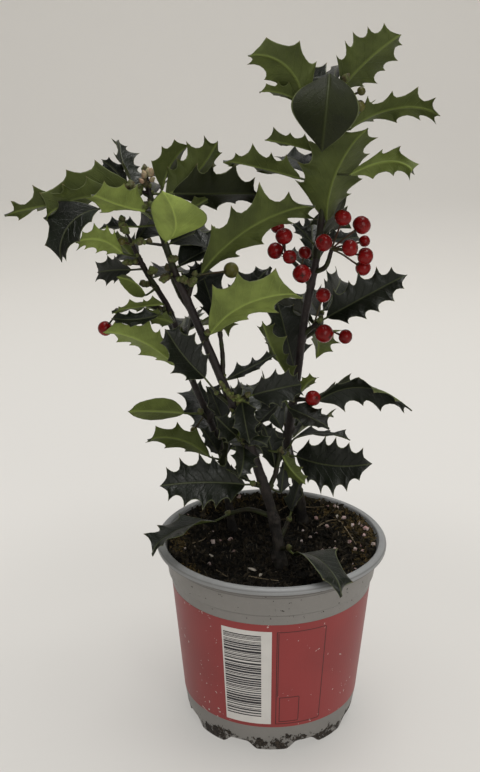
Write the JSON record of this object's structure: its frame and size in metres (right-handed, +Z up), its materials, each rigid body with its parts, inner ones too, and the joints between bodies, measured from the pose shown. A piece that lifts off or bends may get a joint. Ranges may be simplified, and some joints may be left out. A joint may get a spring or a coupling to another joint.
{
  "type": "potted holly plant",
  "caption": "Young holly in a round nursery pot: leaning woody stems with spiny leaves and clusters of red berries.",
  "frame": {"origin": "centre of the pot's underside, on the surface it stands on", "axes": "+Z up, the pot's axis; -Y towards the side with the printed panel; +X to the right of that view"},
  "size_m": [0.217, 0.1612, 0.3861],
  "materials": {
    "pot": "satin grey plastic with a red printed band",
    "soil": "damp crumbly compost",
    "bark": "dull bark",
    "foliage": "waxy leaves, glossy above and matt below",
    "fruit": "glossy berries"
  },
  "bodies": {
    "root": {"pot": "pot", "soil": "soil", "stem_front": "bark", "stem_right": "bark", "stem_back": "bark", "crown_left": "foliage", "sprig_long": "foliage", "sprig_shade": "foliage", "sprig_bright": "foliage", "sprig_behind": "foliage", "sprig_upright": "foliage", "sprig_knot": "foliage", "sprig_inner": "foliage", "sprig_glossy": "foliage", "sprig_pale": "foliage", "sprig_over_rim_left": "foliage", "sprig_over_rim_right": "foliage", "sprig_foot": "foliage", "crown_right": "foliage", "berries_right": "fruit", "berries_left": "fruit", "sprig_right_high": "foliage", "sprig_narrow": "foliage", "sprig_low_middle": "foliage", "sprig_grey": "foliage", "sprig_twisted": "foliage", "sprig_right_low": "foliage", "crown_back": "foliage", "sprig_left_long": "foliage", "sprig_left_mid": "foliage", "sprig_smooth": "foliage", "sprig_dark": "foliage", "sprig_left_low": "foliage", "back_low_left": "foliage", "back_low_right": "foliage", "back_mid_left": "foliage", "back_mid_right": "foliage", "back_high_right": "foliage"}
  },
  "joints": []
}
